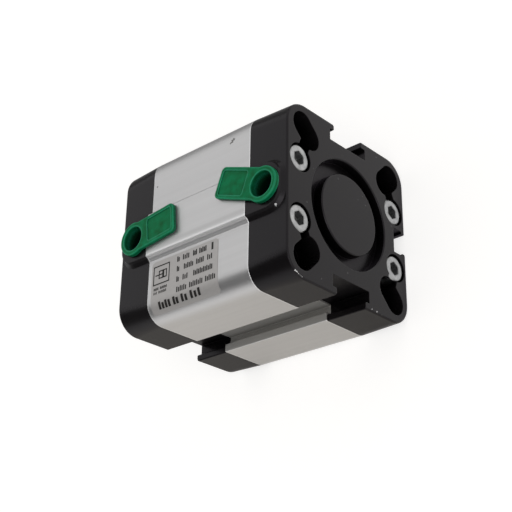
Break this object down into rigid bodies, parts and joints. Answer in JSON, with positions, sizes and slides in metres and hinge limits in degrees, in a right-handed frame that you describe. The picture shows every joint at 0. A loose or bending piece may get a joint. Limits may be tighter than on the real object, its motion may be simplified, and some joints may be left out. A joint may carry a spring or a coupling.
{
  "type": "compact pneumatic cylinder",
  "caption": "Square-bodied compact air cylinder with a grooved aluminium barrel, black end covers, a piston rod with a threaded end and plugged air ports.",
  "frame": {"origin": "where the rod axis meets the front cover's outer face", "axes": "+X out along the piston rod, +Z out of the side with the air ports, +Y across"},
  "size_m": [0.077, 0.0568, 0.0602],
  "materials": {
    "cover_paint": "satin black paint on die-cast aluminium",
    "barrel_aluminium": "satin anodised extrusion with fine lines along its length",
    "zinc_screw": "bright zinc plate",
    "rod_steel": "ground and hard chromed",
    "piston_aluminium": "turned",
    "black_rubber": "moulded nitrile rubber",
    "seal_polyurethane": "moulded polyurethane",
    "bush_bronze": "rolled sintered bronze",
    "magnet_compound": "plastic-bonded ferrite",
    "guide_plastic": "natural acetal",
    "plug_plastic": "soft moulded polyethylene, green"
  },
  "bodies": {
    "housing": {"barrel": "barrel_aluminium", "rear_cover": "cover_paint", "front_cover": "cover_paint", "rear_cover_oring": "black_rubber", "front_cover_oring": "black_rubber", "rear_cover_screws": "zinc_screw", "front_cover_screws": "zinc_screw", "rear_bumper": "seal_polyurethane", "front_bumper": "seal_polyurethane", "rod_bush": "bush_bronze", "rod_seal": "seal_polyurethane"},
    "piston_rings": {"guide_ring": "guide_plastic", "rear_piston_seal": "seal_polyurethane", "front_piston_seal": "seal_polyurethane"},
    "rod_assembly": {"piston_rod": "rod_steel", "rear_half_piston": "piston_aluminium", "front_half_piston": "piston_aluminium", "magnet_ring": "magnet_compound", "piston_rod_oring": "black_rubber", "piston_screw": "zinc_screw"},
    "rear_plug": {"rear_port_plug": "plug_plastic"},
    "front_plug": {"front_port_plug": "plug_plastic"}
  },
  "joints": [
    {"name": "piston_slide", "type": "slide", "parent": "housing", "child": "piston_rings", "axis": [1, 0, 0], "range_m": [0, 0.025]},
    {"name": "rod_turn", "type": "hinge", "parent": "piston_rings", "child": "rod_assembly", "pos_m": [0, 0, 0], "axis": [1, 0, 0], "continuous": true},
    {"name": "rear_plug_pull", "type": "slide", "parent": "housing", "child": "rear_plug", "axis": [0, 0, 1], "range_m": [0, 0.0065]},
    {"name": "front_plug_pull", "type": "slide", "parent": "housing", "child": "front_plug", "axis": [0, 0, 1], "range_m": [0, 0.0065]}
  ]
}
